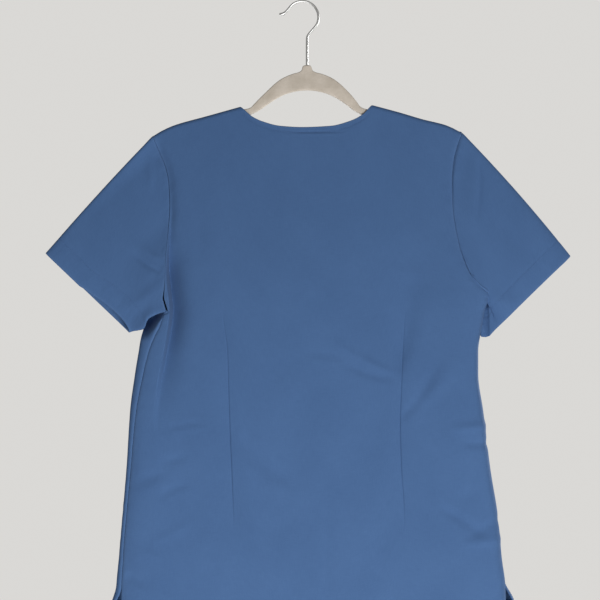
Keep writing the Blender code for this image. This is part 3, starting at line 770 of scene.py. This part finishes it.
def sewSleeve(side, name):
    points, level, sign, t = sleeveGrid(side)
    middle = (20, np.argmin(np.abs(level - 0.5) + (sign > 0) * 9))
    normals = outwardNormals(points, -1, middle, closed=True)
    x, z = points[..., 0], points[..., 2]
    relief = crease(sleeveCreases, x, z) * (sign < 0) + swells(x, z, 41 + side, 8, 40, 110, 0.6)
    relief += (sign > 0) * crease(sleeveCreases, x - 3, z - 12) * 0.9
    relief *= ease(t * 8) * ease((1 - t) * 10 + 0.2) * ease(np.sin(math.pi * level) * 3)
    down = runAlong(points, 0)
    back = down[-1:] - down
    head = (0.15 if side < 0 else 1.5) * ease(level / 0.04) * (1 - 0.75 * ease((level - 0.22) / 0.3))
    if side > 0:
        head = head + 0.9 * ease((level - 0.68) / 0.1) * (sign < 0)
    relief += head * ease(down / 2.4) * (1 - ease((down - 2) / 15)) * np.sin(math.pi * level) ** 0.3
    relief -= seamLook["hemLine"] * bell((back - 25) / 1.6)
    girth = level * 240 + (sign + 1) * 60
    relief += ruck(girth, 61 + side, 0.1) * bell((back - 14) / 9) * ease(back / 4)
    relief += ruck(girth, 51 + side, seamLook["gathers"]) * bell((down - 5) / 6) * ease(down / 3)
    points = points + normals * relief[..., None]
    normals = outwardNormals(points, -1, middle, closed=True)
    down, around = runAlong(points, 0), runAlong(points, 1)
    sheet, flip = Sheet(), side < 0
    sheet.add(points, around, -down, edgeRubOf(down, down[-1:]), closed=True, flip=flip)
    for order, turn in ((1, "seamTurn"), (-1, "cuffTurn")):
        edge = turnedEdge(points[::order], normals[::order], turn)
        us = np.repeat(around[::order][:1], len(edge), 0)
        sheet.add(edge, us, runAlong(edge, 0), closed=True, flip=flip == (order < 0))
    cut = (around.max() + 2 * sewing["seamTurn"],
           down.max() + sewing["seamTurn"] + sewing["cuffTurn"])
    return sheet.build(name), points, normals, cut


print("sleeves")
sewn["sleeve_left"] = sewSleeve(-1, "sleeve_left_shell")
sewn["sleeve_right"] = sewSleeve(1, "sleeve_right_shell")


class Value:
    # a node's output, with arithmetic that adds its Math nodes
    def __init__(self, tree, socket):
        self.tree, self.socket = tree, socket

    def math(self, operation, left, right):
        node = self.tree.nodes.new("ShaderNodeMath")
        node.operation = operation
        for place, value in zip(node.inputs, (left, right)):
            connect(self.tree, value, place)
        return Value(self.tree, node.outputs[0])

    def __add__(self, other):
        return self.math("ADD", self, other)

    def __sub__(self, other):
        return self.math("SUBTRACT", self, other)

    def __rsub__(self, other):
        return self.math("SUBTRACT", other, self)

    def __mul__(self, other):
        return self.math("MULTIPLY", self, other)

    __radd__, __rmul__ = __add__, __mul__


def connect(tree, value, place):
    if isinstance(value, Value):
        tree.links.new(value.socket, place)
    else:
        place.default_value = value


class Finish:
    def __init__(self, name):
        self.material = bpy.data.materials.new(name)
        self.material.use_nodes = True
        self.tree = self.material.node_tree
        self.shader = self.tree.nodes["Principled BSDF"]

    def node(self, kind, inputs, output=0, **settings):
        made = self.tree.nodes.new("ShaderNode" + kind)
        for name, value in settings.items():
            setattr(made, name, value)
        for name, value in inputs.items():
            connect(self.tree, value, made.inputs[name])
        return Value(self.tree, made.outputs[output])

    def sine(self, value):
        return self.node("Math", {0: value}, operation="SINE")

    def blend(self, factor, a, b):
        return self.node("Mix", {0: factor, 6: a, 7: b}, 2, data_type="RGBA")

    def noise(self, place, scale, detail, roughness=0.5):
        looks = {"Vector": place, "Scale": scale, "Detail": detail, "Roughness": roughness}
        return self.node("TexNoise", looks)

    def stretch(self, place, scale):
        return self.node("Mapping", {"Vector": place, "Scale": scale})

    def spread(self, value, low, high, **settings):
        return self.node("MapRange", {"Value": value, "From Min": low, "From Max": high}, **settings)

    def bump(self, height, strength, distance):
        return self.node("Bump", {"Strength": strength, "Distance": distance, "Height": height})

    def own(self):
        # the piece's own coordinates
        return self.node("TexCoord", {}, 3)

    def set(self, **sockets):
        for name, value in sockets.items():
            connect(self.tree, value, self.shader.inputs[name.replace("_", " ")])
        return self.material


clothLook = {
    "blue": (0.064, 0.139, 0.305, 1),
    "deep": (0.055, 0.120, 0.268, 1),
    "rubbed": (0.095, 0.182, 0.370, 1),
    "sheen": (0.55, 0.68, 0.9, 1),
    "yarn": 0.00042,  # from one yarn to the next, metres
    "weaveDepth": 0.00012,
}


def clothFinish():
    finish = Finish("scrub_cloth")
    uv = finish.node("UVMap", {}, uv_map="clothUV")
    u = finish.node("SeparateXYZ", {0: uv})
    v = Value(finish.tree, u.socket.node.outputs[1])
    turn = 2 * math.pi / clothLook["yarn"]
    twill = finish.sine((u + v * 0.5) * (turn / 3))
    weave = finish.sine(u * turn) * finish.sine(v * turn) * 0.35 + twill * 0.4 + 0.5
    slubDown = finish.noise(finish.stretch(uv, (900, 90, 1)), 1, 3, 0.6)
    slubAcross = finish.noise(finish.stretch(uv, (90, 900, 1)), 1, 3, 0.6)
    cloud = finish.noise(uv, 14, 4, 0.55)
    tone = finish.spread((slubDown + slubAcross) * 0.5 + (cloud - 0.5) * 0.5, 0.3, 0.7)
    colour = finish.blend(tone, clothLook["deep"], clothLook["blue"])
    rub = finish.node("Attribute", {}, 2, attribute_name="edgeRub")
    colour = finish.blend(rub * (slubDown + 0.2) * 0.35, colour, clothLook["rubbed"])
    bump = finish.bump(weave + slubDown * 0.8 + slubAcross * 0.8, 0.5, clothLook["weaveDepth"])
    return finish.set(Base_Color=colour, Roughness=0.82 + (1 - tone) * 0.1, Normal=bump, Sheen_Weight=0.14,
                      Sheen_Roughness=0.5, Sheen_Tint=clothLook["sheen"], Specular_IOR_Level=0.25)


print("finishes")
cloth = clothFinish()

# stitching, laid by one tree along lines of points just over the cloth
stitches = {
    "Pitch": 3.0 * mm,
    "Stitch length": 2.1 * mm,
    "Thread width": 0.42 * mm,
    "Unevenness": 0.12,
    "Seed": 7,
}
stitched = {"lift": 0.5, "fromEdge": 6.0, "fromHem": 20.0, "fromCuff": 25.0}


def edgeLine(points, normals, distance, across=False, first=True, lo=0, hi=None):
    # the line at one distance in from a grid's first or last row, or column if across
    if across:
        points, normals = points.transpose(1, 0, 2), normals.transpose(1, 0, 2)
    if not first:
        points, normals = points[::-1], normals[::-1]
    run = runAlong(points, 0)
    line = []
    for j in range(lo, hi or points.shape[1]):
        i = int(np.clip(np.searchsorted(run[:, j], distance) - 1, 0, len(run) - 2))
        t = (distance - run[i, j]) / max(1e-6, run[i + 1, j] - run[i, j])
        line.append(mix(points[i, j], points[i + 1, j], t) + normals[i, j] * stitched["lift"])
    return np.array(line)


def stitchLines():
    lines = []
    low, high = body["neckLeft"] + 5, body["neckRight"] - 5
    for node in ("back_panel", "front_panel"):
        _, points, normals, _ = sewn[node]
        rows, columns = points.shape[:2]
        lines.append(edgeLine(points, normals, stitched["fromHem"], first=False, lo=3, hi=columns - 3))
        neck = [j for j in range(columns) if low < points[0, j, 0] < high]
        lines.append(edgeLine(points, normals, stitched["fromEdge"], lo=neck[0], hi=neck[-1]))
        vent = [i for i in range(rows) if points[i, 0, 2] < body["ventTop"] + 6]
        for first in (True, False):
            lines.append(edgeLine(points, normals, stitched["fromEdge"], True, first, vent[0], rows - 6))
    for node in ("sleeve_left", "sleeve_right"):
        _, points, normals, _ = sewn[node]
        ring = edgeLine(points, normals, stitched["fromCuff"], first=False)
        lines.append(np.concatenate([ring, ring[:1]]))
    return lines


def stitchTree(material):
    tree = bpy.data.node_groups.new("stitching", "GeometryNodeTree")
    face = tree.interface
    face.new_socket("Geometry", in_out="INPUT", socket_type="NodeSocketGeometry")
    for label, value in stitches.items():
        kind = "NodeSocketInt" if label == "Seed" else "NodeSocketFloat"
        face.new_socket(label, in_out="INPUT", socket_type=kind).default_value = value
    face.new_socket("Geometry", in_out="OUTPUT", socket_type="NodeSocketGeometry")
    kinds = {
        "in": "NodeGroupInput",
        "line": "GeometryNodeMeshToCurve",
        "spaced": "GeometryNodeResampleCurve",
        "points": "GeometryNodeInstanceOnPoints",
        "real": "GeometryNodeRealizeInstances",
        "smooth": "GeometryNodeSetShadeSmooth",
        "finish": "GeometryNodeSetMaterial",
        "out": "NodeGroupOutput",
        "stitch": "GeometryNodeMeshUVSphere",
        "tangent": "GeometryNodeInputTangent",
        "turn": "FunctionNodeAlignRotationToVector",
        "size": "ShaderNodeCombineXYZ",
        "uneven": "FunctionNodeRandomValue",
        "least": "ShaderNodeMath",
        "most": "ShaderNodeMath",
        "long": "ShaderNodeMath",
    }
    made = {name: tree.nodes.new(kind) for name, kind in kinds.items()}
    made["spaced"].mode = "LENGTH"
    made["turn"].axis = "X"
    made["uneven"].data_type = "FLOAT"
    for name, operation in (("least", "SUBTRACT"), ("most", "ADD"), ("long", "MULTIPLY")):
        made[name].operation = operation
        made[name].inputs[0].default_value = 1
    for name, value in (("Segments", 6), ("Rings", 4), ("Radius", 0.5)):
        made["stitch"].inputs[name].default_value = value
    made["finish"].inputs["Material"].default_value = material
    path = ("in", "line", "spaced", "points", "real", "smooth", "finish", "out")
    for a, b in zip(path, path[1:]):
        tree.links.new(made[a].outputs[0], made[b].inputs[0])
    for a, output, b, place in (
        ("in", "Pitch", "spaced", "Length"),
        ("stitch", "Mesh", "points", "Instance"),
        ("tangent", "Tangent", "turn", "Vector"),
        ("turn", "Rotation", "points", "Rotation"),
        ("in", "Unevenness", "least", 1),
        ("in", "Unevenness", "most", 1),
        ("least", 0, "uneven", 2),
        ("most", 0, "uneven", 3),
        ("in", "Seed", "uneven", "Seed"),
        ("uneven", 1, "long", 0),
        ("in", "Stitch length", "long", 1),
        ("long", 0, "size", "X"),
        ("in", "Thread width", "size", "Y"),
        ("in", "Thread width", "size", "Z"),
        ("size", 0, "points", "Scale"),
    ):
        tree.links.new(made[a].outputs[output], made[b].inputs[place])
    return tree


def sewStitches(material):
    verts, edges = [], []
    for line in stitchLines():
        edges += [(len(verts) + i, len(verts) + i + 1) for i in range(len(line) - 1)]
        verts += [tuple(p * mm) for p in line]
    mesh = bpy.data.meshes.new("stitch_lines")
    mesh.from_pydata(verts, edges, [])
    piece = addPiece("top_stitching", mesh)
    laid = piece.modifiers.new("stitching", "NODES")
    laid.node_group = stitchTree(material)
    return plainMesh(piece)


threadLook = {"deep": (0.055, 0.118, 0.262, 1), "blue": (0.085, 0.168, 0.35, 1)}


def threadFinish():
    finish = Finish("thread")
    twist = finish.noise(finish.own(), 2600, 2)
    colour = finish.blend(twist, threadLook["deep"], threadLook["blue"])
    return finish.set(Base_Color=colour, Roughness=0.6 + twist * 0.15, Normal=finish.bump(twist, 0.4, 0.0001))


print("stitching")
topStitching = sewStitches(threadFinish())
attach(topStitching, "root")

hanger = {"thick": 6.0, "edge": 1.5, "armStep": 2.7}
hangerTop = [
    (-78, -139.5), (-67, -138), (-62, -132), (-46, -116), (-30, -101), (-14, -93.5), (-1, -90.5),
    (0.5, -84.5), (2, -82), (11, -82), (12.5, -84.5), (14, -90.5), (28, -93.5), (44, -101),
    (60, -116), (71, -129), (76, -137), (87, -140),
]
hangerUnder = [
    (204, -173), (205, -178), (202, -183), (195, -184), (184, -179), (150, -169), (115, -159),
    (88, -150), (70, -143), (54, -130), (38, -120.5), (22, -115.5), (6.5, -114), (-9, -115.5),
    (-25, -120.5), (-41, -130), (-57, -142), (-76, -150), (-104, -159), (-138, -170), (-166, -180),
    (-180, -187), (-186, -188), (-190.5, -184), (-191.5, -179), (-190, -175.5),
]
armPlaces = (-187, -175, -160, -142, -124, -104, -88), (100, 118, 138, 156, 174, 190, 199)


def softened(points, rounds=2):
    # corners cut and cut again, on a closed outline
    for _ in range(rounds):
        ahead = np.roll(points, -1, 0)
        points = np.stack([mix(points, ahead, 0.25), mix(points, ahead, 0.75)], 1).reshape(-1, 2)
    return points


def mouldHanger():
    arms = [list(zip(xs, ridgeZ(np.array(xs, float)) - hanger["armStep"])) for xs in armPlaces]
    shape = softened(np.array(arms[0] + hangerTop + arms[1] + hangerUnder, float))
    curve, line = newCurve("hanger_moulding", "2D", "POLY", hanger["edge"], 3, len(shape))
    curve.fill_mode = "BOTH"
    curve.extrude = (hanger["thick"] / 2 - hanger["edge"]) * mm
    curve.offset = -hanger["edge"] * mm
    line.use_cyclic_u = True
    for point, (x, z) in zip(line.points, shape * mm):
        point.co = (x, z, 0, 1)
    return solidCurve(curve, (math.pi / 2, 0, 0))


def newCurve(name, dimensions, kind, bevel, rings, count):
    curve = bpy.data.curves.new(name, "CURVE")
    curve.dimensions = dimensions
    curve.bevel_depth = bevel * mm
    curve.bevel_resolution = rings
    line = curve.splines.new(kind)
    line.points.add(count - 1)
    return curve, line


def solidCurve(curve, turn=(0, 0, 0)):
    # the mesh itself is turned, so its object stays at the origin
    piece = plainMesh(addPiece(curve.name, curve))
    piece.data.transform(Euler(turn).to_matrix().to_4x4())
    cleanMesh(piece.data, 0.00001, outward=True)
    return piece


hook = {"wire": 1.55, "bend": 21.0, "bendCentre": (0.5, -19.35), "tip": 1.35, "end": 0.8}
hookStem = [(6.5, -90.0), (6.5, -66), (6.5, -48), (7.1, -44), (9.7, -40), (13.9, -35.5)]
hookTip = [(-21.3, -12.8), (-24.4, -15.2), (-27.2, -15.6), (-29.4, -15.2)]


def bendHook():
    cx, cz = hook["bendCentre"]
    turns = [math.radians(angle) for angle in range(-28, 151, 8)]
    arc = [(cx + hook["bend"] * math.cos(turn), cz + hook["bend"] * math.sin(turn)) for turn in turns]
    places = hookStem + arc + hookTip
    curve, line = newCurve("hook_wire", "3D", "NURBS", hook["wire"], 6, len(places))
    curve.use_fill_caps = True
    curve.resolution_u = 6
    line.order_u = 3
    line.use_endpoint_u = True
    for n, (point, (x, z)) in enumerate(zip(line.points, places)):
        point.co = (x * mm, 0, z * mm, 1)
        left = len(places) - 1 - n
        point.radius = hook["end"] if left == 0 else hook["tip"] if left < 3 else 1
    return solidCurve(curve)


flockLook = {"dark": (0.52, 0.46, 0.385, 1), "pale": (0.68, 0.61, 0.53, 1), "sheen": (0.95, 0.9, 0.84, 1)}
chromeLook = {"dull": (0.86, 0.86, 0.85, 1), "bright": (0.95, 0.95, 0.93, 1)}


def flockFinish():
    finish = Finish("flocking")
    place = finish.own()
    fibres = finish.noise(place, 2400, 3, 0.7)
    brushed = finish.noise(place, 60, 3, 0.6)
    tone = finish.spread(fibres * 0.4 + brushed * 0.6, 0.35, 0.65)
    colour = finish.blend(tone, flockLook["dark"], flockLook["pale"])
    bump = finish.bump(fibres, 0.6, 0.00025)
    return finish.set(Base_Color=colour, Roughness=0.92 + (fibres - 0.5) * 0.1, Normal=bump, Sheen_Weight=0.6,
                      Sheen_Roughness=0.4, Sheen_Tint=flockLook["sheen"], Specular_IOR_Level=0.15)


def chromeFinish():
    finish = Finish("hook_chrome")
    place = finish.own()
    drawn = finish.noise(finish.stretch(place, (900, 900, 120)), 1, 3)
    haze = finish.noise(place, 120, 2)
    colour = finish.blend(haze, chromeLook["dull"], chromeLook["bright"])
    rough = 0.34 + drawn * 0.1 + haze * 0.08
    bump = finish.bump(drawn, 0.15, 0.00005)
    return finish.set(Base_Color=colour, Metallic=1.0, Roughness=rough, Normal=bump)


def standFor(piece, node, material):
    piece.data.materials.clear()
    piece.data.materials.append(material)
    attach(piece, "root")
    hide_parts(node)


print("hanger")
standFor(mouldHanger(), "hanger_body", flockFinish())
standFor(bendHook(), "hanger_hook", chromeFinish())

# what each cloth piece stands for; the flat size it is cut from is worked out but not used
for node, (piece, _, _, cut) in sewn.items():
    flat = (round(cut[0] * mm, 3), round(cut[1] * mm, 3))
    standFor(piece, node, cloth)

floorLook = {"radius": 3.2, "below": 1.6, "pale": (0.72, 0.71, 0.69, 1), "fade": (0.8, 3.0)}
bpy.ops.mesh.primitive_circle_add(vertices=96, radius=floorLook["radius"], fill_type="NGON",
                                  location=(0, 0, frameLow[2] - floorLook["below"]))
floor = bpy.context.object
floor.name = "floor"
pale = Finish("pale_floor")
away = pale.node("VectorMath", {0: pale.own()}, 1, operation="LENGTH")
gone = pale.spread(away, *floorLook["fade"], interpolation_type="SMOOTHSTEP")
floor.data.materials.append(pale.set(Base_Color=floorLook["pale"], Roughness=0.9, Alpha=1 - gone))

skyLook = {"onCloth": 0.25, "behind": 1.0, "colour": (0.70, 0.69, 0.67, 1)}
world = bpy.data.worlds.new("studio")
world.use_nodes = True
sky = world.node_tree
seen = sky.nodes.new("ShaderNodeLightPath")
strength = sky.nodes.new("ShaderNodeMix")
strength.inputs[2].default_value = skyLook["onCloth"]
strength.inputs[3].default_value = skyLook["behind"]
sky.links.new(seen.outputs["Is Camera Ray"], strength.inputs[0])
background = sky.nodes["Background"].inputs
sky.links.new(strength.outputs[0], background["Strength"])
background["Color"].default_value = skyLook["colour"]
scene.world = world

lamps = {  # where each stands, what it points at, its size and its power
    "key": ((1.2, -2.28, -1.52), (0, 0, -0.5), 0.9, 51.2),
    "fill": ((-0.3, -1.2, -1.2), (0, 0, -0.6), 1.2, 7.2),
    "rearKey": ((1.7, 1.6, 0.1), (0, 0, -0.45), 0.8, 46),
    "rearFill": ((-0.5, 2.2, -0.9), (0, 0, -0.45), 1.4, 14),
}
for name, (place, aim, size, power) in lamps.items():
    light = bpy.data.lights.new(name, "AREA")
    light.shape = "DISK"
    light.size = size
    light.energy = power
    lamp = addPiece(name, light)
    lamp.location = place
    lamp.rotation_euler = (Vector(aim) - Vector(place)).to_track_quat("-Z", "Y").to_euler()

view = {"width": 0.78, "distance": 1.4, "x": -0.0026, "z": -0.3869}
camera = bpy.data.cameras.new("camera")
camera.sensor_width = 36
camera.lens = camera.sensor_width * view["distance"] / view["width"]
cameraMan = addPiece("camera", camera)
cameraMan.location = (view["x"], -view["distance"], view["z"])
cameraMan.rotation_euler = (math.pi / 2, 0, 0)
scene.camera = cameraMan
scene.view_settings.view_transform = "Standard"
